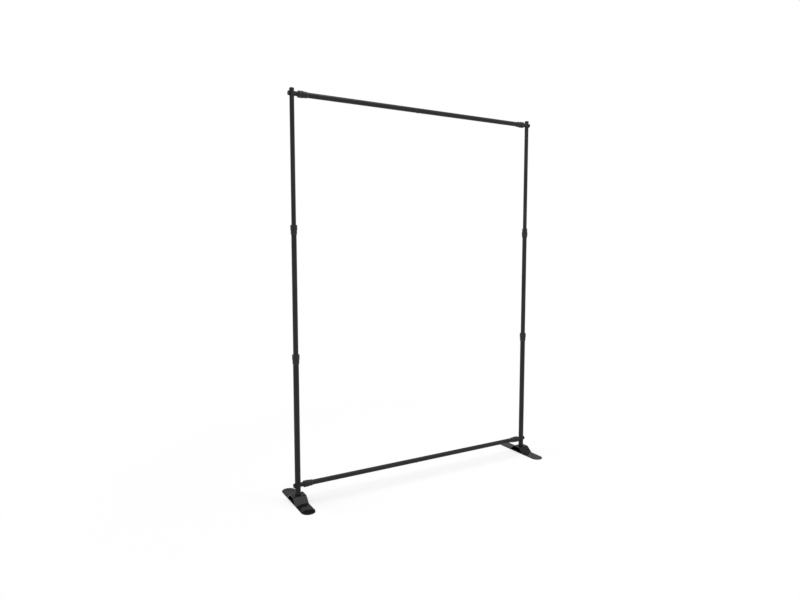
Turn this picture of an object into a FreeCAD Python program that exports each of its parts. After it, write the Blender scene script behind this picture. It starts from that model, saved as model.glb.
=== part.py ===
"""Telescopic banner stand: two three-stage posts on bridge feet, joined by two extending crossbars.

Millimetres. The origin is on the floor, midway between the posts. +X runs from the left post to the right
one, +Y from front to back and +Z up. The stand is drawn raised, with both crossbars drawn in.
"""

import FreeCAD, Part
import Sketcher
import os
from types import SimpleNamespace

# Every driving size of the stand, in millimetres
SIZES = {
    # Frame: post axes and bar axes, as the stand is drawn
    "post_spacing": 1838,
    "low_bar_height": 104,
    "high_bar_height": 2504,
    "lower_lock_height": 903.5,
    "left_upper_lock_height": 1696,
    "right_upper_lock_height": 1712,
    # Tubes: the thinnest of each telescope, and what makes the next one wider
    "upper_tube_dia": 28,
    "bar_inner_dia": 28,
    "tube_wall": 1.5,
    "tube_gap": 0.5,
    "tube_edge_radius": 0.5,
    "tube_overlap": 108,
    # Clearances: pieces that slide, pieces that turn, and pieces that are pressed or bonded together
    "slide_gap": 0.3,
    "turn_gap": 0.3,
    "seat_gap": 0.05,
    # Foot: flat base plate with round ends, and a bent strip welded on it as a bridge
    "foot_length": 436,
    "foot_width": 88,
    "base_thick": 5,
    "bridge_thick": 5,
    "bridge_height": 44,
    "bridge_top_length": 64,
    "bridge_base_length": 152,
    "bridge_bend_radius": 4,
    # Screws with moulded knob heads, at the four corners and under the feet
    "corner_screw_dia": 8,
    "corner_screw_reach": 20,
    "corner_knob_dia": 28,
    "corner_knob_thick": 9,
    "foot_screw_dia": 10,
    "foot_screw_reach": 16,
    "foot_knob_dia": 36,
    "foot_knob_thick": 12,
    "knob_edge_radius": 2.5,
    "knob_flute_radius": 3,
    "knob_flute_depth": 0.8,
    # Plugs in the ends of the post tubes
    "bottom_plug_clear": 16,
    "post_head": 20,
    "cap_clear": 4,
    "cap_height": 12,
    "cap_lip": 0.8,
    "cap_dome_radius": 5,
    # Guide bushes on the hidden ends of the inner tubes
    "bush_flange": 6,
    "bush_spigot": 18,
    "bush_wall": 2,
    # Twist lock: sleeve on the outer tube, split collet round the inner tube, nut over both
    "sleeve_rim": 3,
    "sleeve_length": 28,
    "sleeve_taper": 5,
    "sleeve_lip": 0.8,
    "neck_length": 14,
    "neck_wall": 1.2,
    "tube_seat": 6,
    "collet_wall": 2,
    "collet_tip": 0.6,
    "collet_cone": 6,
    "collet_band": 3,
    "collet_slit": 2,
    "nut_rim": 5,
    "nut_length": 32,
    "nut_edge_radius": 2,
    "nut_flute_radius": 4,
    "nut_flute_depth": 0.5,
    # The right post's upper lock: a long tapered collar in place of the sleeve, and a slim ring as its nut
    "collar_length": 47,
    "collar_taper": 20,
    "ring_length": 26,
    # Crossbars: neck between post and lock nut, saddle against the post, and the joint of the two halves
    "bar_neck": 20,
    "saddle_start": 6,
    "saddle_length": 8,
    "saddle_spigot": 30,
    "inner_bar_end": 158,
    "spigot_length": 90,
    "swage_length": 6,
    # Snap button through the joint, and its leaf spring
    "button_offset": 44,
    "button_dia": 7,
    "button_reach": 3.5,
    "button_dome_radius": 2.5,
    "button_flange": 1.6,
    "button_flange_rim": 1.5,
    "button_lift": 1.4,
    "spring_thick": 0.6,
    "spring_width": 6,
    "spring_length": 36,
    "spring_tail": 7,
    "spring_wall_gap": 0.6,
}

NUT_FLUTES = 12
KNOB_FLUTES = 10
TOLERANCE = 1e-4


class Length:
    """A number read from the sheet, kept with the formula that ties a property to it."""

    def __init__(self, value, formula):
        self.value = value
        self.formula = formula

    def __add__(self, other):
        return Length(self.value + other.value, f"({self.formula} + {other.formula})")

    def __sub__(self, other):
        return Length(self.value - other.value, f"({self.formula} - {other.formula})")

    def __neg__(self):
        return Length(-self.value, f"(-1 * {self.formula})")

    def __mul__(self, factor):
        return Length(self.value * factor, f"({self.formula} * {factor})")

    def __truediv__(self, factor):
        return Length(self.value / factor, f"({self.formula} / {factor})")


doc = FreeCAD.newDocument("banner_stand")
sheet = doc.addObject("Spreadsheet::Sheet", "sizes")
for row, (alias, number) in enumerate(SIZES.items(), start=1):
    sheet.set(f"A{row}", alias)
    sheet.set(f"B{row}", str(number))
    sheet.setAlias(f"B{row}", alias)
doc.recompute()

ZERO = Length(0.0, "0")
s = SimpleNamespace(**{alias: Length(float(sheet.get(alias)), "sizes." + alias) for alias in SIZES})

# Sizes that follow from the driving ones
tube_step = s.tube_wall + s.tube_gap
upper_r = s.upper_tube_dia / 2
middle_r = upper_r + tube_step
lower_r = middle_r + tube_step
bar_inner_r = s.bar_inner_dia / 2
bar_r = bar_inner_r + tube_step
corner_hole_r = s.corner_screw_dia / 2 + s.turn_gap
foot_hole_r = s.foot_screw_dia / 2 + s.turn_gap
half_spacing = s.post_spacing / 2
bar_lock_place = half_spacing - lower_r - s.bar_neck - s.nut_length
bar_end = bar_lock_place + s.tube_seat
spigot_r = bar_r - s.tube_wall - s.seat_gap
spigot_bore_r = spigot_r - s.tube_wall
button_hole_r = s.button_dia / 2 + s.turn_gap

# The finished pieces, by the name of the piece
nodes = {}


def tie(target, path, length):
    """Bind one property of an object to a formula in the sheet."""
    target.setExpression(path, length.formula)


def new_body(name):
    return doc.addObject("PartDesign::Body", name)


def new_sketch(body, role):
    """An empty sketch on one of the body's own origin planes."""
    sketch = body.newObject("Sketcher::SketchObject", body.Name + "_sketch")
    planes = {feature.Role: feature for feature in body.Origin.OriginFeatures}
    sketch.AttachmentSupport = [(planes[role], "")]
    sketch.MapMode = "FlatFace"
    return sketch


def fix_point(sketch, curve, end, across, up):
    """Tie a point of a sketch curve to the sketch's axes, by one length along each."""
    for axis_line, kind, length in ((-2, "DistanceX", across), (-1, "DistanceY", up)):
        if length is ZERO:
            sketch.addConstraint(Sketcher.Constraint("PointOnObject", curve, end, axis_line))
        elif length is not None:
            index = sketch.addConstraint(Sketcher.Constraint(kind, curve, end, length.value))
            tie(sketch, f"Constraints[{index}]", length)


def draw_polygon(sketch, points):
    """A closed outline of straight lines through points, each a pair of lengths."""
    corners = [FreeCAD.Vector(across.value, up.value, 0) for across, up in points]
    ends = corners[1:] + corners[:1]
    lines = [sketch.addGeometry(Part.LineSegment(start, end)) for start, end in zip(corners, ends)]
    next_lines = lines[1:] + lines[:1]
    for line, next_line, (across, up) in zip(lines, next_lines, points):
        sketch.addConstraint(Sketcher.Constraint("Coincident", line, 2, next_line, 1))
        fix_point(sketch, line, 1, across, up)


def draw_circle(sketch, radius, across, up):
    """A circle at a place given by a pair of lengths."""
    centre = FreeCAD.Vector(across.value, up.value, 0)
    curve = sketch.addGeometry(Part.Circle(centre, FreeCAD.Vector(0, 0, 1), radius.value))
    index = sketch.addConstraint(Sketcher.Constraint("Radius", curve, radius.value))
    tie(sketch, f"Constraints[{index}]", radius)
    fix_point(sketch, curve, 3, across, up)


def turned(name, points):
    """A body of revolution about its own Z axis, from an outline of (radius, height) points."""
    body = new_body(name)
    sketch = new_sketch(body, "XZ_Plane")
    draw_polygon(sketch, points)
    revolution = body.newObject("PartDesign::Revolution", name + "_turned")
    revolution.Profile = sketch
    revolution.ReferenceAxis = (sketch, ["V_Axis"])
    revolution.Angle = 360
    return body


def cut(body, sketch, both_ways=True):
    """Cut a sketch right through a body, to both sides of its plane or only against the plane's normal."""
    pocket = body.newObject("PartDesign::Pocket", body.Name + "_cut")
    pocket.Profile = sketch
    pocket.Type = "ThroughAll"
    if both_ways:
        pocket.SideType = "Symmetric"
    return pocket


def drill(body, role, radius, across, up, both_ways=True):
    """A round hole through a body, square to one of its origin planes."""
    sketch = new_sketch(body, role)
    draw_circle(sketch, radius, across, up)
    return cut(body, sketch, both_ways)


def flute(body, rim_r, radius, depth, count):
    """Shallow round grooves along the rim of a turned piece, for grip."""
    sketch = new_sketch(body, "XY_Plane")
    draw_circle(sketch, radius, rim_r + radius - depth, ZERO)
    groove = cut(body, sketch)
    pattern = body.newObject("PartDesign::PolarPattern", body.Name + "_flutes")
    pattern.Originals = [groove]
    pattern.Axis = (sketch, ["N_Axis"])
    pattern.Angle = 360
    pattern.Occurrences = count
    body.Tip = pattern


def fillet_edges(body, radius, wanted):
    """Round the edges of a body's last feature that the test picks out."""
    doc.recompute()
    feature = body.Tip
    picked = [f"Edge{i}" for i, edge in enumerate(feature.Shape.Edges, start=1) if wanted(edge)]
    fillet = body.newObject("PartDesign::Fillet", body.Name + "_rounded")
    fillet.Base = (feature, picked)
    tie(fillet, "Radius", radius)


def is_rim(radius, *heights):
    """A test for the full circles about the body's axis with this radius, at these heights."""
    def wanted(edge):
        if not isinstance(edge.Curve, Part.Circle) or abs(edge.Curve.Radius - radius.value) > TOLERANCE:
            return False
        places = [FreeCAD.Vector(0, 0, height.value) for height in heights]
        return any((edge.Curve.Center - place).Length < TOLERANCE for place in places)
    return wanted


UPRIGHT = FreeCAD.Rotation()
TO_LEFT = FreeCAD.Rotation(FreeCAD.Vector(0, 1, 0), -90)
TO_RIGHT = FreeCAD.Rotation(FreeCAD.Vector(0, 1, 0), 90)


def place(piece, turn, x, z):
    """Turn a piece and put its own origin at a place in the post plane, tied to the sheet."""
    piece.Placement = FreeCAD.Placement(FreeCAD.Vector(x.value, 0, z.value), turn)
    tie(piece, "Placement.Base.x", x)
    tie(piece, "Placement.Base.z", z)


def keep(name, piece):
    """Enter a finished piece under the name of its node."""
    piece.Label = name
    nodes[name] = piece


def keep_pair(name, pieces):
    """Enter like pieces of one body as a single node of separate solids."""
    group = doc.addObject("Part::Compound", name)
    group.Links = pieces
    keep(name, group)


def tube(name, radius, start, end):
    """A plain round tube along its own Z axis, with the outer edges of its ends broken."""
    bore_r = radius - s.tube_wall
    body = turned(name, [(bore_r, start), (radius, start), (radius, end), (bore_r, end)])
    fillet_edges(body, s.tube_edge_radius, is_rim(radius, start, end))
    return body


# Twist lock. Its own Z axis points along the inner tube, and its zero is where nut meets sleeve.

def lock_radii(outer_r, inner_r):
    """The radii that the three pieces of a lock share, from the two tubes that it joins."""
    bore = inner_r + s.slide_gap
    neck = outer_r + s.neck_wall
    return SimpleNamespace(
        bore=bore,
        tip=bore + s.collet_tip,
        belly=bore + s.collet_wall,
        neck=neck,
        thread=neck + s.turn_gap,
    )


# How far each lock's sleeve and nut stand out from the outer tube, and how long they are
usual_lock = SimpleNamespace(sleeve_rim=s.sleeve_rim, sleeve_length=s.sleeve_length, taper=s.sleeve_taper,
                             nut_rim=s.nut_rim, nut_length=s.nut_length)
collar_lock = SimpleNamespace(sleeve_rim=s.nut_rim, sleeve_length=s.collar_length, taper=s.collar_taper,
                              nut_rim=s.sleeve_rim, nut_length=s.ring_length)

# Heights of the collet's two cones, the same in every lock
cone_foot = s.neck_length - s.collet_cone
belly_top = s.neck_length + s.collet_band
cone_head = belly_top + s.collet_cone


def lock_sleeve(name, outer_r, inner_r, form=usual_lock):
    """Sleeve bonded on the end of the outer tube: tapered skirt, threaded neck and a cone for the collet."""
    r = lock_radii(outer_r, inner_r)
    skirt_r = outer_r + form.sleeve_rim
    tube_hole_r = outer_r + s.seat_gap
    foot = -form.sleeve_length
    return turned(name, [
        (tube_hole_r, foot),
        (outer_r + s.sleeve_lip, foot),
        (skirt_r, foot + form.taper),
        (skirt_r, ZERO),
        (r.neck, ZERO),
        (r.neck, s.neck_length),
        (r.belly + s.seat_gap, s.neck_length),
        (r.tip + s.seat_gap, cone_foot),
        (r.tip + s.seat_gap, s.tube_seat),
        (tube_hole_r, s.tube_seat),
    ])


def lock_collet(name, outer_r, inner_r):
    """Split ring with a cone at each end, squeezed on the inner tube by sleeve and nut."""
    r = lock_radii(outer_r, inner_r)
    body = turned(name, [
        (r.bore, cone_foot),
        (r.tip, cone_foot),
        (r.belly, s.neck_length),
        (r.belly, belly_top),
        (r.tip, cone_head),
        (r.bore, cone_head),
    ])
    half = s.collet_slit / 2
    reach = r.belly + s.collet_wall
    sketch = new_sketch(body, "XY_Plane")
    draw_polygon(sketch, [(ZERO, -half), (reach, -half), (reach, half), (ZERO, half)])
    cut(body, sketch)
    return body


def lock_nut(name, outer_r, inner_r, form=usual_lock):
    """Fluted nut over neck and collet, with a flat end and a cone inside that squeezes the collet."""
    r = lock_radii(outer_r, inner_r)
    rim = outer_r + form.nut_rim
    body = turned(name, [
        (r.thread, s.turn_gap),
        (rim, s.turn_gap),
        (rim, form.nut_length),
        (r.bore, form.nut_length),
        (r.bore, cone_head + s.turn_gap),
        (r.tip + s.turn_gap, cone_head + s.turn_gap),
        (r.belly + s.turn_gap, belly_top + s.turn_gap),
        (r.thread, belly_top + s.turn_gap),
    ])
    fillet_edges(body, s.nut_edge_radius, is_rim(rim, form.nut_length))
    flute(body, rim, s.nut_flute_radius, s.nut_flute_depth, NUT_FLUTES)
    return body


# Screw with a round knob head. Its own Z axis points from the head along the shank.

def knob_screw(name, shank_dia, knob_dia, knob_thick, face, tip):
    """Knob head whose inner face is at one height on the axis, with a shank up to the tip."""
    shank_r = shank_dia / 2
    knob_r = knob_dia / 2
    back = face - knob_thick
    body = turned(name, [
        (ZERO, back),
        (knob_r, back),
        (knob_r, face),
        (shank_r, face),
        (shank_r, tip),
        (ZERO, tip),
    ])
    fillet_edges(body, s.knob_edge_radius, is_rim(knob_r, back))
    flute(body, knob_r, s.knob_flute_radius, s.knob_flute_depth, KNOB_FLUTES)
    return body


def guide_bush(name, tube_r):
    """Flanged bush for the end of a tube that slides in the next wider one. Its tube starts at zero."""
    bore_r = tube_r - s.tube_wall
    spigot = bore_r - s.seat_gap
    flange = tube_r + s.tube_gap - s.slide_gap
    hole = spigot - s.bush_wall
    return turned(name, [
        (hole, -s.bush_flange),
        (flange, -s.bush_flange),
        (flange, ZERO),
        (spigot, ZERO),
        (spigot, s.bush_spigot),
        (hole, s.bush_spigot),
    ])


# Foot: a flat plate with round ends, and on it a bent strip that carries the post like a bridge.

def plate_and_bridge(name):
    """The welded foot with square ends, from its side outline, with the screw hole and the bends."""
    end = s.foot_length / 2
    base = s.bridge_base_length / 2
    top = s.bridge_top_length / 2
    crown = s.bridge_height - s.bridge_thick
    rise = s.bridge_height - s.base_thick
    run = base - top
    slope = f"atan({rise.formula} / {run.formula})"
    slant = (rise.value ** 2 + run.value ** 2) ** 0.5
    thick = s.bridge_thick
    level_wall = Length(thick.value * slant / rise.value, f"({thick.formula} / sin({slope}))")
    half_slope = rise.value / (run.value + slant)
    crown_shift = Length(thick.value * half_slope, f"({thick.formula} * tan({slope} / 2))")
    inner_base = base - level_wall
    inner_top = top - crown_shift

    body = new_body(name)
    sketch = new_sketch(body, "YZ_Plane")
    draw_polygon(sketch, [(-end, ZERO), (end, ZERO), (end, s.base_thick), (base, s.base_thick),
                          (top, s.bridge_height), (-top, s.bridge_height), (-base, s.base_thick),
                          (-end, s.base_thick)])
    draw_polygon(sketch, [(-inner_base, s.base_thick), (inner_base, s.base_thick), (inner_top, crown),
                          (-inner_top, crown)])
    pad = body.newObject("PartDesign::Pad", name + "_pad")
    pad.Profile = sketch
    pad.SideType = "Symmetric"
    tie(pad, "Length", s.foot_width)

    hole = new_sketch(body, "XY_Plane")
    tie(hole, "AttachmentOffset.Base.z", s.base_thick)
    draw_circle(hole, foot_hole_r, ZERO, ZERO)
    pocket = cut(body, hole, both_ways=False)
    pocket.Reversed = True

    def is_bend(corners):
        def wanted(edge):
            centre = edge.CenterOfMass
            along = edge.BoundBox.YLength < TOLERANCE and edge.BoundBox.ZLength < TOLERANCE
            return along and any(
                abs(abs(centre.y) - across.value) < TOLERANCE and abs(centre.z - up.value) < TOLERANCE
                for across, up in corners)
        return wanted

    fillet_edges(body, s.bridge_bend_radius, is_bend([(inner_top, crown), (base, s.base_thick)]))
    fillet_edges(body, s.bridge_bend_radius + thick, is_bend([(top, s.bridge_height)]))
    return body


def round_end_blank(name):
    """A block with the foot's outline from above: straight sides and half-round ends."""
    body = new_body(name)
    sketch = new_sketch(body, "XY_Plane")
    side = s.foot_width / 2
    straight = s.foot_length / 2 - side
    up = FreeCAD.Vector(0, 0, 1)
    arcs = (((side, straight), straight, 0), ((-side, -straight), -straight, 180))
    for (start_x, start_y), centre_y, first_angle in arcs:
        circle = Part.Circle(FreeCAD.Vector(0, centre_y.value, 0), up, side.value)
        first = FreeCAD.Units.Quantity(f"{first_angle} deg").getValueAs("rad").Value
        last = FreeCAD.Units.Quantity(f"{first_angle + 180} deg").getValueAs("rad").Value
        curve = sketch.addGeometry(Part.ArcOfCircle(circle, first, last))
        fix_point(sketch, curve, 1, start_x, start_y)
        fix_point(sketch, curve, 2, -start_x, start_y)
        fix_point(sketch, curve, 3, None, centre_y)
    for first_arc, second_arc in ((0, 1), (1, 0)):
        start = sketch.getPoint(first_arc, 2)
        end = sketch.getPoint(second_arc, 1)
        line = sketch.addGeometry(Part.LineSegment(start, end))
        sketch.addConstraint(Sketcher.Constraint("Coincident", line, 1, first_arc, 2))
        sketch.addConstraint(Sketcher.Constraint("Coincident", line, 2, second_arc, 1))
    pad = body.newObject("PartDesign::Pad", name + "_pad")
    pad.Profile = sketch
    tie(pad, "Length", s.bridge_height)
    return body


def foot(name):
    common = doc.addObject("Part::Common", name)
    common.Base = plate_and_bridge(name + "_side")
    common.Tool = round_end_blank(name + "_blank")
    return common


# Posts: foot, three tubes, two locks, bushes and plugs on each side

def build_post(side, x, upper_lock_height, upper_lock):
    """Everything that stands on one foot, apart from the ends of the crossbars."""
    lower_end = s.lower_lock_height + s.tube_seat
    upper_end = upper_lock_height + s.tube_seat
    middle_start = lower_end - s.tube_overlap
    upper_start = upper_end - s.tube_overlap
    head = s.high_bar_height + s.post_head

    piece = foot(side + "_foot")
    place(piece, UPRIGHT, x, ZERO)
    keep(side + "_foot", piece)

    plug_r = lower_r - s.tube_wall - s.seat_gap
    plug_top = s.low_bar_height - s.bridge_height - s.bottom_plug_clear
    piece = turned(side + "_bottom_plug", [(foot_hole_r, ZERO), (plug_r, ZERO), (plug_r, plug_top),
                                           (foot_hole_r, plug_top)])
    place(piece, UPRIGHT, x, s.bridge_height)
    keep(side + "_bottom_plug", piece)

    piece = knob_screw(side + "_foot_screw", s.foot_screw_dia, s.foot_knob_dia, s.foot_knob_thick,
                       -(s.bridge_thick + s.turn_gap), s.foot_screw_reach)
    place(piece, UPRIGHT, x, s.bridge_height)
    keep(side + "_foot_screw", piece)

    piece = tube(side + "_lower_tube", lower_r, ZERO, lower_end - s.bridge_height)
    drill(piece, "YZ_Plane", corner_hole_r, ZERO, s.low_bar_height - s.bridge_height)
    place(piece, UPRIGHT, x, s.bridge_height)
    keep(side + "_lower_tube", piece)

    piece = tube(side + "_middle_tube", middle_r, ZERO, upper_end - middle_start)
    place(piece, UPRIGHT, x, middle_start)
    keep(side + "_middle_tube", piece)

    piece = guide_bush(side + "_middle_bush", middle_r)
    place(piece, UPRIGHT, x, middle_start)
    keep(side + "_middle_bush", piece)

    piece = tube(side + "_upper_tube", upper_r, ZERO, head - upper_start)
    drill(piece, "YZ_Plane", corner_hole_r, ZERO, s.high_bar_height - upper_start)
    place(piece, UPRIGHT, x, upper_start)
    keep(side + "_upper_tube", piece)

    cap_r = upper_r + s.cap_lip
    cap_spigot_r = upper_r - s.tube_wall - s.seat_gap
    cap_foot = -(s.post_head - s.corner_screw_dia / 2 - s.cap_clear)
    piece = turned(side + "_top_cap", [(ZERO, cap_foot), (cap_spigot_r, cap_foot), (cap_spigot_r, ZERO),
                                       (cap_r, ZERO), (cap_r, s.cap_height), (ZERO, s.cap_height)])
    fillet_edges(piece, s.cap_dome_radius, is_rim(cap_r, s.cap_height))
    place(piece, UPRIGHT, x, head)
    keep(side + "_top_cap", piece)

    stages = (("lower", lower_r, middle_r, s.lower_lock_height, usual_lock),
              ("upper", middle_r, upper_r, upper_lock_height, upper_lock))
    for stage, outer_r, inner_r, height, form in stages:
        name = f"{side}_{stage}"
        lock = {
            name + "_sleeve": lock_sleeve(name + "_sleeve", outer_r, inner_r, form),
            name + "_collet": lock_collet(name + "_collet", outer_r, inner_r),
            name + "_nut": lock_nut(name + "_nut", outer_r, inner_r, form),
        }
        for name, piece in lock.items():
            place(piece, UPRIGHT, x, height)
            keep(name, piece)

    bush = guide_bush(side + "_upper_tube_bush", upper_r)
    place(bush, UPRIGHT, x, upper_start)
    return bush


# Crossbars: two half tubes with a locked joint, a lock at each end and an inner tube on each post

def snap_button(name):
    """Domed pin through both tubes at the joint, with a flange that the spring pushes on."""
    pin_r = s.button_dia / 2
    tip = -(bar_r + s.button_reach)
    flange_foot = s.button_lift - spigot_bore_r
    flange_top = flange_foot + s.button_flange
    flange_r = pin_r + s.button_flange_rim
    body = turned(name, [(ZERO, tip), (pin_r, tip), (pin_r, flange_foot), (flange_r, flange_foot),
                         (flange_r, flange_top), (ZERO, flange_top)])
    fillet_edges(body, s.button_dome_radius, is_rim(pin_r, tip))
    return body


def leaf_spring(name):
    """Bent strip inside the spigot: one arm on the button's flange, the other on the wall above."""
    low = s.button_lift - spigot_bore_r + s.button_flange + s.seat_gap
    high = spigot_bore_r - s.spring_wall_gap
    bend = s.spring_length - s.button_offset
    seat = -(s.button_offset - s.spring_tail)
    tail = -(s.button_offset + s.spring_tail)
    middle = (low + high) / 2
    inner_bend = s.spring_thick * 4
    body = new_body(name)
    sketch = new_sketch(body, "XZ_Plane")
    draw_polygon(sketch, [
        (tail, low),
        (seat, low),
        (bend, middle),
        (tail, high),
        (tail, high - s.spring_thick),
        (bend - inner_bend, middle),
        (seat, low + s.spring_thick),
        (tail, low + s.spring_thick),
    ])
    pad = body.newObject("PartDesign::Pad", name + "_pad")
    pad.Profile = sketch
    pad.SideType = "Symmetric"
    tie(pad, "Length", s.spring_width)
    return body


def build_bar(level, height, post_r):
    """One crossbar between the posts, at a height, against posts of one radius."""
    piece = tube(level + "_left_half", bar_r, ZERO, bar_end)
    drill(piece, "YZ_Plane", button_hole_r, ZERO, s.button_offset, both_ways=False)
    place(piece, TO_LEFT, ZERO, height)
    keep(level + "_left_half", piece)

    bore_r = bar_r - s.tube_wall
    swage = -s.swage_length
    piece = turned(level + "_right_half", [
        (bore_r, -bar_end),
        (bar_r, -bar_end),
        (bar_r, ZERO),
        (spigot_r, ZERO),
        (spigot_r, s.spigot_length),
        (spigot_bore_r, s.spigot_length),
        (spigot_bore_r, swage),
        (bore_r, swage * 2),
    ])
    fillet_edges(piece, s.tube_edge_radius, is_rim(bar_r, -bar_end, ZERO))
    drill(piece, "YZ_Plane", button_hole_r, ZERO, s.button_offset, both_ways=False)
    place(piece, TO_LEFT, ZERO, height)
    keep(level + "_right_half", piece)

    piece = snap_button(level + "_button")
    place(piece, UPRIGHT, -s.button_offset, height)
    keep(level + "_button", piece)

    piece = leaf_spring(level + "_button_spring")
    place(piece, UPRIGHT, ZERO, height)
    keep(level + "_button_spring", piece)

    sleeves = []
    collets = []
    bushes = {}
    for side, turn, sign in (("left", TO_LEFT, -1), ("right", TO_RIGHT, 1)):
        name = f"{level}_{side}"
        for kind, make, group in (("sleeve", lock_sleeve, sleeves), ("collet", lock_collet, collets)):
            piece = make(f"{name}_{kind}", bar_r, bar_inner_r)
            place(piece, turn, bar_lock_place * sign, height)
            group.append(piece)

        piece = lock_nut(name + "_nut", bar_r, bar_inner_r)
        place(piece, turn, bar_lock_place * sign, height)
        keep(name + "_nut", piece)

        tube_end = half_spacing - post_r - s.saddle_length
        piece = tube(name + "_inner_tube", bar_inner_r, s.inner_bar_end, tube_end)
        place(piece, turn, ZERO, height)
        keep(name + "_inner_tube", piece)

        bush = guide_bush(name + "_bush", bar_inner_r)
        place(bush, turn, s.inner_bar_end * sign, height)
        bushes[side] = bush

        inward = TO_RIGHT if side == "left" else TO_LEFT
        saddle_end = post_r + s.saddle_length
        spigot = bar_inner_r - s.tube_wall - s.seat_gap
        plug_end = saddle_end + s.saddle_spigot
        piece = turned(name + "_saddle", [
            (corner_hole_r, s.saddle_start),
            (bar_inner_r, s.saddle_start),
            (bar_inner_r, saddle_end),
            (spigot, saddle_end),
            (spigot, plug_end),
            (corner_hole_r, plug_end),
        ])
        drill(piece, "YZ_Plane", post_r + s.seat_gap, ZERO, ZERO)
        place(piece, inward, half_spacing * sign, height)
        keep(name + "_saddle", piece)

        piece = knob_screw(name + "_screw", s.corner_screw_dia, s.corner_knob_dia, s.corner_knob_thick,
                           -(post_r + s.turn_gap), saddle_end + s.corner_screw_reach)
        place(piece, inward, half_spacing * sign, height)
        keep(name + "_screw", piece)

    keep_pair(level + "_sleeves", sleeves)
    keep_pair(level + "_collets", collets)
    return bushes


post_bushes = {
    "left": build_post("left", -half_spacing, s.left_upper_lock_height, usual_lock),
    "right": build_post("right", half_spacing, s.right_upper_lock_height, collar_lock),
}
top_bushes = build_bar("top", s.high_bar_height, upper_r)
bottom_bushes = build_bar("bottom", s.low_bar_height, lower_r)
for side in ("left", "right"):
    keep_pair(side + "_upper_bushes", [post_bushes[side], top_bushes[side]])
    keep(f"bottom_{side}_bush", bottom_bushes[side])

doc.recompute()
for item in doc.Objects:
    if "Invalid" in item.State or "Error" in item.State:
        raise RuntimeError(f"{item.Label} failed: {item.State}")
os.makedirs("parts", exist_ok=True)
for name, piece in nodes.items():
    if piece.Shape.isNull() or not piece.Shape.isValid() or not piece.Shape.Solids:
        raise RuntimeError(f"{name} has no valid solid")
for name, piece in nodes.items():
    piece.Shape.exportStep(f"parts/{name}.step")
print(len(nodes), "nodes,", sum(len(piece.Shape.Solids) for piece in nodes.values()), "solids")
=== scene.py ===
"""Black telescopic banner stand on a white studio floor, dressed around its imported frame. Metres, +Z up."""

import bmesh
import bpy
import math
import numpy as np
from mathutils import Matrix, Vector


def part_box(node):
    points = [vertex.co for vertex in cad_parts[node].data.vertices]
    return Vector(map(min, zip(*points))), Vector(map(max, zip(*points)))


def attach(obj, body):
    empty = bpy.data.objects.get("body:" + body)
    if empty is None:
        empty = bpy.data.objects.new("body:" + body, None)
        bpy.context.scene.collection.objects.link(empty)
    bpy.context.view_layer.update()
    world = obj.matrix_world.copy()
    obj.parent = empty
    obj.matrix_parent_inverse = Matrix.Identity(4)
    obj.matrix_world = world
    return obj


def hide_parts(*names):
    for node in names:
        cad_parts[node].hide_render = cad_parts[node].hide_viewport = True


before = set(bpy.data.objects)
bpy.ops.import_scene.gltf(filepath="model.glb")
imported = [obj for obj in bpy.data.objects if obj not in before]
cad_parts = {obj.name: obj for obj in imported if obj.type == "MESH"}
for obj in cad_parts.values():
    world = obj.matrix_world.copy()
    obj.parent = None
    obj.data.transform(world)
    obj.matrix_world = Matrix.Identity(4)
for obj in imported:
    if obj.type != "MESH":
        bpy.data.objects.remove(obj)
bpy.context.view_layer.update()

# Camera: stands in front of the left post at about eye height and looks down a little across the frame.
# The picture is 800 by 600, with no shift, and the focal length is in its pixels.
CAMERA_PLACE = (-2.1409, -3.3997, 1.5837)
CAMERA_YAW = math.radians(30.01)
CAMERA_PITCH = math.radians(-5.00)
CAMERA_FOCUS_PX = 583.82
PICTURE_WIDTH_PX = 800
SENSOR_WIDTH_MM = 36
VIEW_DEPTH = 100

camera_data = bpy.data.cameras.new("camera")
camera_data.sensor_width = SENSOR_WIDTH_MM
camera_data.lens = SENSOR_WIDTH_MM * CAMERA_FOCUS_PX / PICTURE_WIDTH_PX
camera_data.clip_end = VIEW_DEPTH
camera = bpy.data.objects.new("camera", camera_data)
bpy.context.scene.collection.objects.link(camera)
camera.location = CAMERA_PLACE
camera.rotation_euler = (math.pi / 2 + CAMERA_PITCH, 0, -CAMERA_YAW)
bpy.context.scene.camera = camera


# Feet: each is a flat steel plate with half-round ends, and on it a bent steel strip that is welded on as a
# bridge for the post. The sheared edges are rounded, the weld is dressed to a hollow, and the whole foot is
# coated in semi-gloss black powder.
MM = 0.001
PLATE_THICK = 5 * MM
PLATE_EDGE = 1.6 * MM
PLATE_STEPS = 160
FLAT_BAND = 6 * MM
BRIDGE_THICK = 5 * MM
BRIDGE_TOP = 64 * MM
BRIDGE_BASE = 152 * MM
BRIDGE_EDGE = 1.2 * MM
BRIDGE_INSET = 0.3 * MM
BEND_INSIDE = 4 * MM
WELD = 7 * MM
WELD_TOE = 0.3 * MM
WELD_HOLLOW_SHARE = 0.9
WELD_HEEL_SHARE = 0.1
EDGE_STEPS = 6
BEND_STEPS = 8
FLAT_GUARD = 1.15
SECTION_GUARD = 3
MERGE_DISTANCE = 0.002 * MM
SHARP_ANGLE = math.radians(40)

# How far the coat is drawn pale, from 0 to 1: rubbed coat and a painted highlight along the plate's edge
# and the strip's edges, and a painted highlight along the strip's bends.
PLATE_RUB_AND_HIGHLIGHT = 0.4
STRIP_RUB_AND_HIGHLIGHT = 0.75
BEND_HIGHLIGHT = 0.3

# Where a finish's dark, middle and pale tones stand on its ramp (the pale tone for worn edges, and on the
# feet also for painted highlights), the span of noise values that its roughness follows, and how many finer
# layers its clouds and its fine marks have.
TONE_STOPS = (0.35, 0.65, 1.0)
MARK_SPAN = (0.3, 0.7)
CLOUD_DETAIL = 4.0
FINE_DETAIL = 2.0


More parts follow.
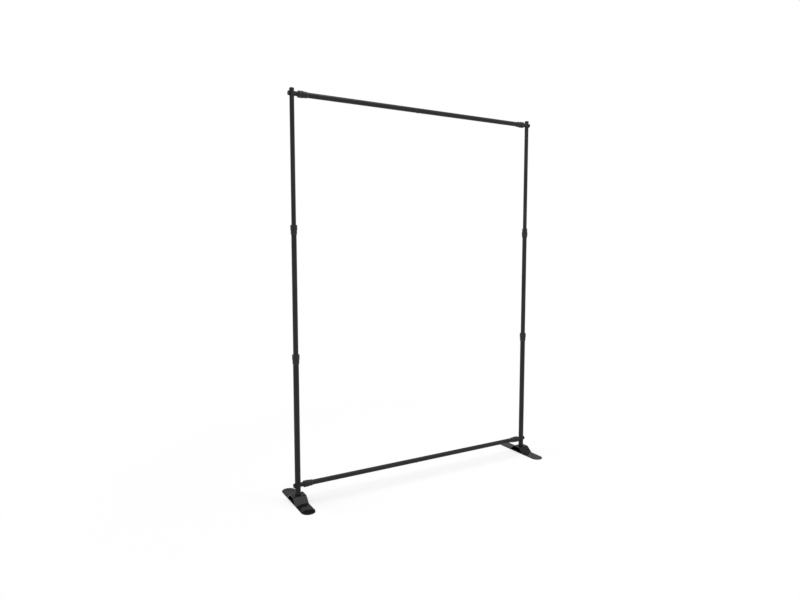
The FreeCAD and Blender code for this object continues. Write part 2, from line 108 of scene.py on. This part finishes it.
def linear(code):
    """An sRGB hex colour, turned by the sRGB curve to linear red, green and blue, with alpha 1."""
    srgb = np.array([int(code[i:i + 2], 16) for i in (1, 3, 5)]) / 255
    low = srgb / 12.92
    high = ((srgb + 0.055) / 1.055) ** 2.4
    return (*np.where(srgb <= 0.04045, low, high), 1.0)


def add_node(tree, kind, settings=None, links=None):
    """Add a node, set its properties and inputs, and link the inputs that take another node's output."""
    node = tree.nodes.new(kind)
    for key, value in (settings or {}).items():
        if isinstance(key, str) and hasattr(node, key):
            setattr(node, key, value)
        else:
            node.inputs[key].default_value = value
    for key, output in (links or {}).items():
        tree.links.new(output, node.inputs[key])
    return node


def finish(name, tones, cloud_mm, mark_mm, mark_draw, grain_mm, grain_depth_mm, roughness, shine):
    """A finish in three tones: dark to middle in soft clouds, and pale where the edge weight is high: worn
    edges, and on the feet also painted highlights on edges and bends.

    Fine marks, drawn out along each axis by mark_draw, break up the pale edges and shift the roughness
    between its two values. A grain stands up as bump. Shine holds the shader's constant inputs.
    """
    material = bpy.data.materials.new(name)
    material.use_nodes = True
    tree = material.node_tree
    tree.nodes.clear()
    place = add_node(tree, "ShaderNodeTexCoord").outputs["Object"]
    cloud = add_node(tree, "ShaderNodeTexNoise", {"Scale": 1 / (cloud_mm * MM), "Detail": CLOUD_DETAIL},
                     {"Vector": place})
    drawn = add_node(tree, "ShaderNodeMapping", {"Scale": [1 / draw for draw in mark_draw]},
                     {"Vector": place})
    marks = add_node(tree, "ShaderNodeTexNoise", {"Scale": 1 / (mark_mm * MM), "Detail": FINE_DETAIL},
                     {"Vector": drawn.outputs["Vector"]})
    edge = add_node(tree, "ShaderNodeAttribute", {"attribute_name": "edge"})
    # Pale along the edge weight: worn edges, and on the feet also a painted highlight.
    wear_and_highlight = add_node(tree, "ShaderNodeMath", {"operation": "MULTIPLY_ADD"},
                      {0: edge.outputs["Fac"], 1: marks.outputs["Fac"], 2: cloud.outputs["Fac"]})
    tone = add_node(tree, "ShaderNodeValToRGB", links={"Fac": wear_and_highlight.outputs[0]})
    tone.color_ramp.elements.new(TONE_STOPS[-1])
    for stop, place_on_ramp, code in zip(tone.color_ramp.elements, TONE_STOPS, tones):
        stop.position = place_on_ramp
        stop.color = linear(code)
    sheen = add_node(tree, "ShaderNodeMapRange",
                     {"From Min": MARK_SPAN[0], "From Max": MARK_SPAN[1],
                      "To Min": roughness[0], "To Max": roughness[1]},
                     {"Value": marks.outputs["Fac"]})
    grain = add_node(tree, "ShaderNodeTexNoise", {"Scale": 1 / (grain_mm * MM), "Detail": FINE_DETAIL},
                     {"Vector": place})
    bump = add_node(tree, "ShaderNodeBump", {"Distance": grain_depth_mm * MM},
                    {"Height": grain.outputs["Fac"]})
    shader = add_node(tree, "ShaderNodeBsdfPrincipled", shine,
                      {"Base Color": tone.outputs["Color"], "Roughness": sheen.outputs["Result"],
                       "Normal": bump.outputs["Normal"]})
    add_node(tree, "ShaderNodeOutputMaterial", links={"Surface": shader.outputs["BSDF"]})
    return material


# Semi-gloss polyester powder flows out almost level on plate, so it mirrors post and bar faintly, with a wide
# and very shallow orange peel.
# Its pale tone lies along the feet's edges and bends: rubbed coat and a painted highlight on the edges, a
# painted highlight on the bends.
foot_coat = finish("semi_gloss_powder_coat", ("#1a1a1a", "#1e1e1f", "#5a5a5b"), cloud_mm=90, mark_mm=4,
                   mark_draw=(1, 3, 1), grain_mm=4, grain_depth_mm=0.01, roughness=(0.03, 0.06),
                   shine={"IOR": 1.45, "Specular IOR Level": 0.048})


def rounded(corners, steps=EDGE_STEPS):
    """An outline through corners, each given as two coordinates and the length that its rounding takes off.

    The rounding between A and B, that length before and after the corner C, is (1-t)² A + 2t(1-t) C + t² B.
    A point a little before A and one after B keep the flats flat. Returns the points, and for each of them
    4t(1-t), which is 1 in the middle of a rounding and 0 on the flats.
    """
    corners = np.array(corners, float)
    places = corners[:, :2]
    t = np.linspace(0, 1, steps)[:, None]
    points = []
    edges = []
    for i, (corner, cut) in enumerate(zip(places, corners[:, 2])):
        if cut == 0:
            points.append(corner[None])
            edges.append(np.zeros(1))
            continue
        to_last = places[i - 1] - corner
        to_next = places[(i + 1) % len(places)] - corner
        to_last *= cut / np.linalg.norm(to_last)
        to_next *= cut / np.linalg.norm(to_next)
        curve = corner + (1 - t) ** 2 * to_last + t ** 2 * to_next
        points.append(np.vstack([corner + to_last * FLAT_GUARD, curve, corner + to_next * FLAT_GUARD]))
        edges.append(np.concatenate([[0], 4 * t[:, 0] * (1 - t[:, 0]), [0]]))
    return np.vstack(points), np.concatenate(edges)


def grid_faces(rows, columns, closed_rows=False):
    """Quads between neighbours on a grid whose columns run round and meet, as its rows do where closed."""
    row = np.arange(rows if closed_rows else rows - 1)[:, None]
    column = np.arange(columns)[None, :]
    row_on = (row + 1) % rows
    column_on = (column + 1) % columns
    quads = [row * columns + column, row * columns + column_on, row_on * columns + column_on,
             row_on * columns + column]
    return np.stack(quads, axis=-1).reshape(-1, 4).tolist()


def new_piece(name, surfaces, material, body, slot, *nodes):
    """A piece of one or more surfaces, each with its points, faces and pale edge weights (worn edges, and on
    the feet also painted highlights), that rides on a body.

    Points that meet are merged and faces are turned outwards. The piece stands for the CAD nodes, if any.
    """
    mesh = bpy.data.meshes.new(name)
    starts = np.cumsum([0] + [len(points) for points, faces, edge in surfaces])
    faces = [[int(start) + corner for corner in face] for start, surface in zip(starts, surfaces)
             for face in surface[1]]
    mesh.from_pydata(np.vstack([surface[0] for surface in surfaces]).tolist(), [], faces)
    edge = mesh.attributes.new("edge", "FLOAT", "POINT")
    edge.data.foreach_set("value", np.concatenate([surface[2] for surface in surfaces]).astype(np.float32))
    work = bmesh.new()
    work.from_mesh(mesh)
    bmesh.ops.remove_doubles(work, verts=work.verts, dist=MERGE_DISTANCE)
    bmesh.ops.recalc_face_normals(work, faces=work.faces)
    work.to_mesh(mesh)
    work.free()
    mesh.shade_smooth()
    mesh.set_sharp_from_angle(angle=SHARP_ANGLE)
    mesh.materials.append(material)
    piece = bpy.data.objects.new(name, mesh)
    bpy.context.scene.collection.objects.link(piece)
    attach(piece, body)
    if nodes:
        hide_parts(*nodes)


def capped(points, columns):
    """The faces of a grid of points whose first and last rows are closed by flat ends."""
    rows = len(points) // columns
    ring = np.arange(columns)
    return grid_faces(rows, columns) + [ring.tolist(), (len(points) - columns + ring).tolist()]


def plate_surface(low, high):
    """Plate with half-round ends: an edge outline of (inset, height), carried round the plate.

    At an angle a, a point is at ((w - inset) cos a, L sign(sin a) + (w - inset) sin a), where w is half the
    width and L is half the length of the straight sides. The flat top and bottom close it.
    """
    half_width = (high[0] - low[0]) / 2
    straight = (high[1] - low[1]) / 2 - half_width
    top = low[2] + PLATE_THICK
    outline, edge = rounded([(FLAT_BAND, low[2], 0), (0, low[2], PLATE_EDGE), (0, top, PLATE_EDGE),
                             (FLAT_BAND, top, 0)])
    angle = (np.arange(PLATE_STEPS) + 0.5) * 2 * np.pi / PLATE_STEPS
    reach = half_width - outline[:, :1]
    x = (low[0] + high[0]) / 2 + reach * np.cos(angle)
    y = (low[1] + high[1]) / 2 + straight * np.sign(np.sin(angle)) + reach * np.sin(angle)
    z = np.repeat(outline[:, 1:], PLATE_STEPS, axis=1)
    points = np.stack([x, y, z], axis=-1).reshape(-1, 3)
    # The plate's rounded edge is drawn pale, partly as rubbed coat and partly as a painted highlight.
    return points, capped(points, PLATE_STEPS), np.repeat(PLATE_RUB_AND_HIGHLIGHT * edge, PLATE_STEPS)


def bridge_surface(low, high):
    """Bent strip: a section with rounded edges, carried along the strip's upper side and its under side.

    At each place along the strip, the section's point (s, q) is at s across the foot, and at
    under + q (upper - under) in the upright plane. The upper side runs out on the plate in a hollow weld.
    """
    base = BRIDGE_BASE / 2
    top = BRIDGE_TOP / 2
    plate_top = low[2] + PLATE_THICK
    toe = plate_top - WELD_TOE
    rise = high[2] - plate_top
    slant = math.hypot(rise, base - top)
    bend = rise / (base - top + slant)
    upper_half = [(base + WELD, toe, 0), (base, toe, WELD * WELD_HOLLOW_SHARE),
                  (top, high[2], (BEND_INSIDE + BRIDGE_THICK) * bend)]
    foot = base - BRIDGE_THICK * slant / rise
    crown = top - BRIDGE_THICK * bend
    sunk = plate_top - PLATE_THICK / 2
    under_half = [(base + WELD, sunk, 0), (foot, plate_top - PLATE_EDGE, WELD * WELD_HEEL_SHARE),
                  (crown, high[2] - BRIDGE_THICK, BEND_INSIDE * bend)]
    both = [[(-y, z, cut) for y, z, cut in half] + half[::-1] for half in (upper_half, under_half)]
    upper, bend_highlight = rounded(both[0], BEND_STEPS)
    under = rounded(both[1], BEND_STEPS)[0]
    half_width = (high[0] - low[0]) / 2 - BRIDGE_INSET
    t = np.linspace(0, np.pi / 2, EDGE_STEPS)
    quarter_s = half_width - BRIDGE_EDGE * np.concatenate([[SECTION_GUARD], 1 - np.sin(t)])
    quarter_q = 1 - BRIDGE_EDGE / BRIDGE_THICK * np.concatenate([[0], 1 - np.cos(t)])
    section_s = np.concatenate([quarter_s, quarter_s[::-1], -quarter_s, -quarter_s[::-1]])
    section_q = np.concatenate([quarter_q, 1 - quarter_q[::-1], 1 - quarter_q, quarter_q[::-1]])
    along = under[:, None] + section_q[:, None] * (upper - under)[:, None]
    x = np.broadcast_to((low[0] + high[0]) / 2 + section_s, along.shape[:2])
    points = np.concatenate([x[..., None], along], axis=-1).reshape(-1, 3)
    # Pale tone: the strip's side edges as rubbed coat and a painted highlight, its bends as a painted
    # highlight.
    side_rub_and_highlight = np.exp(-((np.abs(section_s) - half_width) / BRIDGE_EDGE) ** 2)
    edge = np.maximum(STRIP_RUB_AND_HIGHLIGHT * side_rub_and_highlight, BEND_HIGHLIGHT * bend_highlight[:, None])
    return points, capped(points, len(section_s)), edge.reshape(-1)


for side in ("left", "right"):
    low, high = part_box(f"{side}_foot")
    new_piece(f"{side}_welded_foot", [plate_surface(low, high), bridge_surface(low, high)], foot_coat,
              f"{side}_foot", "foot_coat", f"{side}_foot")


# Foot screws: under each bridge, a moulded polypropylene knob with ten finger flutes on a blackened steel
# screw, which goes up through the bridge into the post.
TURN_STEPS = 120
CLEARANCE = 0.3 * MM
SMALL_EDGE = 0.7 * MM
FLUTE_FADE = 2 * MM
FLUTE_BACK = 1.4 * MM
FLUTE_POWER = 1.5
KNOB_FLUTES = 10
KNOB_FLUTE_DEPTH = 1.1 * MM
KNOB_EDGE = 2.5 * MM
KNOB_DISH = 1 * MM
KNOB_DISH_SHARE = 0.55
THREAD_STEPS = 40
THREAD_ROWS = 6
THREAD_DEPTH_SHARE = 0.6
FOOT_SCREW = {"radius": 5 * MM, "pitch": 1.5 * MM}
UP = np.array([(1, 0, 0), (0, 1, 0), (0, 0, 1)], float)

# Moulded polypropylene comes from a spark-eroded mould, so it is evenly matt with a fine grain. The grain is
# drawn three times as coarse as it is.
knob_plastic = finish("moulded_polypropylene", ("#252526", "#29292a", "#3e3e3f"), cloud_mm=25, mark_mm=2,
                      mark_draw=(1, 1, 1), grain_mm=0.8, grain_depth_mm=0.01, roughness=(0.46, 0.56),
                      shine={"IOR": 1.49, "Specular IOR Level": 0.12})

# Blackened steel: oiled black oxide over bright metal, worn back along the crests.
black_steel = finish("black_oxide_steel", ("#4c4d50", "#57585c", "#84868a"), cloud_mm=6, mark_mm=1,
                     mark_draw=(12, 1, 1), grain_mm=0.7, grain_depth_mm=0.005, roughness=(0.32, 0.42),
                     shine={"Metallic": 1.0})


def turned(corners, origin, axes, ring=True, flutes=0, depth=0.0, zone=(0.0, 0.0)):
    """Surface of revolution: an outline of (radius, distance along the axis), turned about an axis.

    At an angle a, a point is at origin + r (cos a, sin a, 0) + (0, 0, d) in the axis's own directions. With n
    flutes, depth times a power of max(0, cos na) comes off the rim's radius inside their zone, and fades out
    at its ends. A ring's outline closes on itself, and any other starts and ends on the axis.
    """
    outline, edge = rounded(corners)
    angle = np.arange(TURN_STEPS) * 2 * np.pi / TURN_STEPS
    near_rim = (outline[:, 0] - outline[:, 0].max() + FLUTE_BACK) / FLUTE_BACK
    in_zone = np.minimum(outline[:, 1] - zone[0], zone[1] - outline[:, 1]) / FLUTE_FADE
    fade = np.clip(near_rim, 0, 1) * np.clip(in_zone, 0, 1)
    groove = depth * np.maximum(0, np.cos(flutes * angle)) ** FLUTE_POWER
    radius = outline[:, :1] - fade[:, None] * groove
    across, beside, along = axes
    circle = np.cos(angle)[:, None] * across + np.sin(angle)[:, None] * beside
    points = np.array(origin) + radius[..., None] * circle + outline[:, 1, None, None] * along
    return points.reshape(-1, 3), grid_faces(len(outline), TURN_STEPS, ring), np.repeat(edge, TURN_STEPS)


def threaded(start, end, origin, axes, radius, pitch):
    """Threaded shank: at angle a and distance d the radius is r - h |2 frac(d / pitch - a / 2 pi) - 1|.

    The thread's depth h is a share of the pitch. Both ends are closed on the axis.
    """
    depth = THREAD_DEPTH_SHARE * pitch
    distance = np.arange(start, end, pitch / THREAD_ROWS)
    angle = np.arange(THREAD_STEPS) * 2 * np.pi / THREAD_STEPS
    turns = distance[:, None] / pitch - angle / (2 * np.pi)
    ridge = np.abs(2 * (turns % 1) - 1)
    thread = radius - depth * ridge
    closed = np.vstack([np.zeros(THREAD_STEPS), thread, np.zeros(THREAD_STEPS)])
    place = np.concatenate([distance[:1], distance, distance[-1:]])
    across, beside, along = axes
    circle = np.cos(angle)[:, None] * across + np.sin(angle)[:, None] * beside
    points = np.array(origin) + closed[..., None] * circle + place[:, None, None] * along
    crest = np.vstack([np.zeros(THREAD_STEPS), 1 - ridge, np.zeros(THREAD_STEPS)])
    return points.reshape(-1, 3), grid_faces(len(place), THREAD_STEPS), crest.reshape(-1)


def knob_screw(body, knob_r, thick, tip, origin, axes, thread):
    """Knob and threaded shank of one screw. Zero along its axis is the knob's inner face."""
    dish_r = knob_r * KNOB_DISH_SHARE
    knob = turned([(0, KNOB_DISH - thick, 0), (dish_r, KNOB_DISH - thick, KNOB_DISH),
                   (dish_r + 2 * KNOB_DISH, -thick, KNOB_DISH), (knob_r, -thick, KNOB_EDGE),
                   (knob_r, -thick / 2, 0), (knob_r, 0, SMALL_EDGE), (0, 0, 0)],
                  origin, axes, ring=False, flutes=KNOB_FLUTES, depth=KNOB_FLUTE_DEPTH,
                  zone=(-thick - FLUTE_FADE, FLUTE_FADE))
    shank = threaded(-thick / 2, tip, origin, axes, **thread)
    new_piece(f"{body}_knob", [knob], knob_plastic, body, "knob_plastic", body)
    new_piece(f"{body}_shank", [shank], black_steel, body, "spring_steel")


for side in ("left", "right"):
    body = f"{side}_foot_screw"
    low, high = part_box(body)
    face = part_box(f"{side}_foot")[1][2] - BRIDGE_THICK - CLEARANCE
    origin = ((low[0] + high[0]) / 2, 0, face)
    knob_screw(body, (high[1] - low[1]) / 2, face - low[2], high[2] - face, origin, UP, FOOT_SCREW)


# Post tubes: three drawn steel tubes to a post, each sliding in the next, in satin black powder coat. A
# moulded nylon plug in the lower end takes the foot screw.


def dress(material, *names):
    """Give CAD nodes a material in place of the one that they were packed with."""
    for name in names:
        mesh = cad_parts[name].data
        mesh.materials.clear()
        mesh.materials.append(material)


# Satin powder coat has a fine orange peel. Sliding in and out leaves faint rub marks along each tube, sixty
# times as long as they are wide.
RUB_DRAW = 60
SATIN = {"tones": ("#2c2c2d", "#313132", "#424243"), "cloud_mm": 140, "mark_mm": 2.5, "grain_mm": 1.8,
         "grain_depth_mm": 0.012, "roughness": (0.3, 0.42),
         "shine": {"IOR": 1.45, "Specular IOR Level": 0.12}}
post_coat = finish("satin_powder_coat_along_posts", mark_draw=(1, 1, RUB_DRAW), **SATIN)

# Glass-filled nylon is matt from its mould, and its flow leaves soft clouds.
nylon = finish("glass_filled_nylon", ("#2b2b2c", "#303031", "#474748"), cloud_mm=30, mark_mm=1.5,
               mark_draw=(1, 1, 1), grain_mm=0.9, grain_depth_mm=0.015, roughness=(0.38, 0.5),
               shine={"IOR": 1.53, "Specular IOR Level": 0.14})

for side in ("left", "right"):
    dress(post_coat, *(f"{side}_{stage}_tube" for stage in ("lower", "middle", "upper")))
    dress(nylon, f"{side}_bottom_plug")


# Post locks: a sleeve bonded on the end of each outer tube, and over it a nut with shallow finger flutes that
# squeezes a split collet on the inner tube. Sleeve and nut are moulded in glass-filled nylon. The right
# post's upper lock has a long tapered collar and a slim ring instead.
NUT_EDGE = 2 * MM
NUT_FLUTES = 12
NUT_FLUTE_DEPTH = 0.9 * MM
NUT_PLAIN_END = 5 * MM
SLEEVE_LIP = 0.8 * MM
NECK = 14 * MM
NECK_WALL = 1.2 * MM
COLLET_HEAD = 23 * MM
TUBE_STEP = 2 * MM
USUAL_LOCK = {"sleeve_length": 28 * MM, "sleeve_rim": 3 * MM, "taper": 5 * MM, "nut_length": 32 * MM,
              "nut_rim": 5 * MM}
COLLAR_LOCK = {"sleeve_length": 47 * MM, "sleeve_rim": 5 * MM, "taper": 20 * MM, "nut_length": 26 * MM,
               "nut_rim": 3 * MM}


def lock_surfaces(outer_r, origin, axes, sleeve_length, sleeve_rim, taper, nut_length, nut_rim):
    """Sleeve and nut of one lock, turned about the tubes. Zero along the axis is where nut meets sleeve."""
    bore_r = outer_r - TUBE_STEP + CLEARANCE
    neck_r = outer_r + NECK_WALL
    skirt_r = outer_r + sleeve_rim
    rim_r = outer_r + nut_rim
    sleeve = turned([(outer_r, -sleeve_length, 0), (outer_r + SLEEVE_LIP, -sleeve_length, SMALL_EDGE / 2),
                     (skirt_r, taper - sleeve_length, SMALL_EDGE * 2), (skirt_r, 0, SMALL_EDGE / 2),
                     (neck_r, 0, 0), (neck_r, NECK, 0), (outer_r, NECK, 0)], origin, axes)
    grip_start = NUT_PLAIN_END
    grip_end = nut_length - NUT_PLAIN_END
    nut = turned([(neck_r + CLEARANCE, CLEARANCE, 0), (rim_r, CLEARANCE, SMALL_EDGE), (rim_r, grip_start, 0),
                  (rim_r, grip_start + FLUTE_FADE, 0), (rim_r, grip_end - FLUTE_FADE, 0),
                  (rim_r, grip_end, 0), (rim_r, nut_length, NUT_EDGE), (bore_r, nut_length, SMALL_EDGE / 2),
                  (bore_r, COLLET_HEAD, 0), (neck_r + CLEARANCE, NECK, 0)],
                 origin, axes, flutes=NUT_FLUTES, depth=NUT_FLUTE_DEPTH, zone=(grip_start, grip_end))
    return sleeve, nut


# Natural acetal is waxy and off-white, and turning leaves it faintly marked.
acetal = finish("natural_acetal", ("#d2d0c6", "#dbd9cf", "#e6e4dc"), cloud_mm=12, mark_mm=0.6,
                mark_draw=(1, 1, 1), grain_mm=0.6, grain_depth_mm=0.01, roughness=(0.36, 0.46),
                shine={"IOR": 1.48})

for side in ("left", "right"):
    for stage, carrier in (("lower", "lower"), ("upper", "middle")):
        name = f"{side}_{stage}"
        tube_low, tube_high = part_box(f"{side}_{carrier}_tube")
        nut_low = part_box(f"{name}_nut")[0]
        form = COLLAR_LOCK if name == "right_upper" else USUAL_LOCK
        outer_r = (tube_high[0] - tube_low[0]) / 2
        origin = ((tube_low[0] + tube_high[0]) / 2, 0, nut_low[2] - CLEARANCE)
        sleeve, nut = lock_surfaces(outer_r, origin, UP, **form)
        new_piece(f"{name}_lock_sleeve", [sleeve], nylon, f"{side}_{carrier}", "lock_plastic",
                  f"{name}_sleeve")
        new_piece(f"{name}_lock_nut", [nut], nylon, f"{name}_nut", "lock_plastic", f"{name}_nut")
        dress(acetal, f"{name}_collet")
    dress(acetal, f"{side}_middle_bush", f"{side}_upper_bushes")


# Top caps: nylon plugs, moulded in one piece with a domed head. Each is pressed into an upper tube until its
# lip covers the tube's end.
CAP_DOME = 5 * MM
TUBE_WALL = 1.5 * MM

for side in ("left", "right"):
    low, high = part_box(f"{side}_top_cap")
    tube_low, tube_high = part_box(f"{side}_upper_tube")
    cap_r = (high[0] - low[0]) / 2
    plug_r = (tube_high[0] - tube_low[0]) / 2 - TUBE_WALL
    cap = turned([(0, low[2], 0), (plug_r, low[2], SMALL_EDGE), (plug_r, tube_high[2], 0),
                  (cap_r, tube_high[2], SMALL_EDGE / 2), (cap_r, high[2], CAP_DOME), (0, high[2], 0)],
                 ((low[0] + high[0]) / 2, 0, 0), UP, ring=False)
    new_piece(f"{side}_domed_cap", [cap], nylon, f"{side}_upper", "lock_plastic", f"{side}_top_cap")


# Crossbar tubes: each bar is two half tubes that plug together, with an inner tube sliding in each end. A
# snap button on a leaf spring stands out under the joint. The inner tubes end in moulded saddles that fit the
# posts. All tubes are drawn steel in the posts' satin coat, rubbed along the bar.
bar_coat = finish("satin_powder_coat_along_bars", mark_draw=(RUB_DRAW, 1, 1), **SATIN)

for level in ("top", "bottom"):
    dress(black_steel, f"{level}_button", f"{level}_button_spring")
    for side in ("left", "right"):
        dress(bar_coat, f"{level}_{side}_half", f"{level}_{side}_inner_tube")
        dress(nylon, f"{level}_{side}_saddle")


# Crossbar locks: the same moulded sleeve, split collet and fluted nut as on the posts, at both ends of each
# bar. Acetal bushes guide the lower bar's inner tubes.
TO_LEFT = np.array([(0, 1, 0), (0, 0, 1), (-1, 0, 0)], float)
TO_RIGHT = np.array([(0, 1, 0), (0, 0, 1), (1, 0, 0)], float)

for level in ("top", "bottom"):
    sleeves = []
    for side, end, axes in (("left", 1, TO_LEFT), ("right", 0, TO_RIGHT)):
        name = f"{level}_{side}"
        bar_low, bar_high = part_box(f"{name}_half")
        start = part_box(f"{name}_nut")[end][0] - CLEARANCE * axes[2][0]
        outer_r = (bar_high[1] - bar_low[1]) / 2
        origin = (start, 0, (bar_low[2] + bar_high[2]) / 2)
        sleeve, nut = lock_surfaces(outer_r, origin, axes, **USUAL_LOCK)
        sleeves.append(sleeve)
        new_piece(f"{name}_lock_nut", [nut], nylon, f"{name}_nut", "lock_plastic", f"{name}_nut")
    new_piece(f"{level}_lock_sleeves", sleeves, nylon, f"{level}_bar", "lock_plastic", f"{level}_sleeves")
    dress(acetal, f"{level}_collets")
dress(acetal, "bottom_left_bush", "bottom_right_bush")


# Corner screws: at each corner, a moulded knob on a blackened steel screw, which goes through the post into
# the saddle of the bar and draws the saddle against the post.
CORNER_SCREW = {"radius": 4 * MM, "pitch": 1.25 * MM}

for level, stage in (("top", "upper"), ("bottom", "lower")):
    for side, outer, axes in (("left", 0, TO_RIGHT), ("right", 1, TO_LEFT)):
        body = f"{level}_{side}_screw"
        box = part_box(body)
        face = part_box(f"{side}_{stage}_tube")[outer][0] - CLEARANCE * axes[2][0]
        knob_r = (box[1][1] - box[0][1]) / 2
        thick = abs(box[outer][0] - face)
        tip = abs(box[1 - outer][0] - face)
        origin = (face, 0, (box[0][2] + box[1][2]) / 2)
        knob_screw(body, knob_r, thick, tip, origin, axes, CORNER_SCREW)


# Studio: a white floor that runs out into white surroundings, a strip box overhead, a small soft box high on
# the right and a broad light from behind on the left. Floor and surroundings are white to the eye and in
# reflections, and light the object softly.
WHITE = linear("#ffffff")
FLOOR_REACH = 30.0
FLOOR_GLOW = 0.6
FLOOR_BOUNCE = 0.8
FADE_START = 1.2
FADE_END = 2.6
SKY_LIGHT = 0.525
STRIP_PLACE = (0.5, -1.03, 5.2)
STRIP = {"shape": "RECTANGLE", "size": 0.5, "size_y": 3.2, "energy": 57}
RIGHT_PLACE = (5.4, -1.7, 5.1)
RIGHT_BOX = {"size": 1.6, "energy": 17}
BACK_PLACE = (-5.1, 3.9, 7.7)
BACK = {"angle": math.radians(40), "energy": 1.25}


def seen_directly(tree):
    """1 for rays from the camera, a mirror or a pane of glass, and 0 for light that matt surfaces gather."""
    path = add_node(tree, "ShaderNodeLightPath")
    mirror = add_node(tree, "ShaderNodeMath", {"operation": "MAXIMUM"},
                      {0: path.outputs["Is Camera Ray"], 1: path.outputs["Is Glossy Ray"]})
    glass = add_node(tree, "ShaderNodeMath", {"operation": "MAXIMUM"},
                     {0: mirror.outputs[0], 1: path.outputs["Is Transmission Ray"]})
    return glass.outputs[0]


floor_mesh = bpy.data.meshes.new("floor")
floor_corners = np.array([(-1, -1, 0), (1, -1, 0), (1, 1, 0), (-1, 1, 0)]) * FLOOR_REACH
floor_mesh.from_pydata(floor_corners.tolist(), [], [(0, 1, 2, 3)])
floor = bpy.data.objects.new("floor", floor_mesh)
bpy.context.scene.collection.objects.link(floor)

floor_paint = bpy.data.materials.new("white_floor_paint")
floor_paint.use_nodes = True
tree = floor_paint.node_tree
tree.nodes.clear()
place = add_node(tree, "ShaderNodeTexCoord").outputs["Object"]
distance = add_node(tree, "ShaderNodeVectorMath", {"operation": "LENGTH"}, {"Vector": place})
fade = add_node(tree, "ShaderNodeMapRange", {"From Min": FADE_START, "From Max": FADE_END,
                                             "interpolation_type": "SMOOTHSTEP"},
                {"Value": distance.outputs["Value"]})
seen = seen_directly(tree)
near_light = add_node(tree, "ShaderNodeMapRange",
                      {"To Min": FLOOR_BOUNCE + FLOOR_GLOW - 1, "To Max": FLOOR_GLOW}, {"Value": seen})
near_glow = add_node(tree, "ShaderNodeEmission", links={"Strength": near_light.outputs["Result"]})
near_paint = add_node(tree, "ShaderNodeBsdfDiffuse", {"Color": (*[1 - FLOOR_GLOW] * 3, 1)})
near = add_node(tree, "ShaderNodeAddShader", links={0: near_glow.outputs[0], 1: near_paint.outputs[0]})
far_light = add_node(tree, "ShaderNodeMapRange", {"To Min": FLOOR_BOUNCE}, {"Value": seen})
far = add_node(tree, "ShaderNodeEmission", links={"Strength": far_light.outputs["Result"]})
whole = add_node(tree, "ShaderNodeMixShader", links={0: fade.outputs["Result"], 1: near.outputs[0],
                                                     2: far.outputs[0]})
add_node(tree, "ShaderNodeOutputMaterial", links={"Surface": whole.outputs[0]})
floor_mesh.materials.append(floor_paint)

world = bpy.data.worlds.new("studio")
bpy.context.scene.world = world
world.use_nodes = True
tree = world.node_tree
tree.nodes.clear()
strength = add_node(tree, "ShaderNodeMapRange", {"To Min": SKY_LIGHT}, {"Value": seen_directly(tree)})
background = add_node(tree, "ShaderNodeBackground", {"Color": WHITE},
                      {"Strength": strength.outputs["Result"]})
add_node(tree, "ShaderNodeOutputWorld", links={"Surface": background.outputs[0]})

for name, kind, lamp_place, settings in (("overhead_strip", "AREA", STRIP_PLACE, STRIP),
                                         ("right_box", "AREA", RIGHT_PLACE, RIGHT_BOX),
                                         ("back_light", "SUN", BACK_PLACE, BACK)):
    lamp = bpy.data.lights.new(name, kind)
    for key, value in settings.items():
        setattr(lamp, key, value)
    holder = bpy.data.objects.new(name, lamp)
    bpy.context.scene.collection.objects.link(holder)
    holder.location = lamp_place
    holder.rotation_euler = Vector(lamp_place).to_track_quat("Z", "Y").to_euler()

bpy.context.scene.view_settings.view_transform = "Standard"
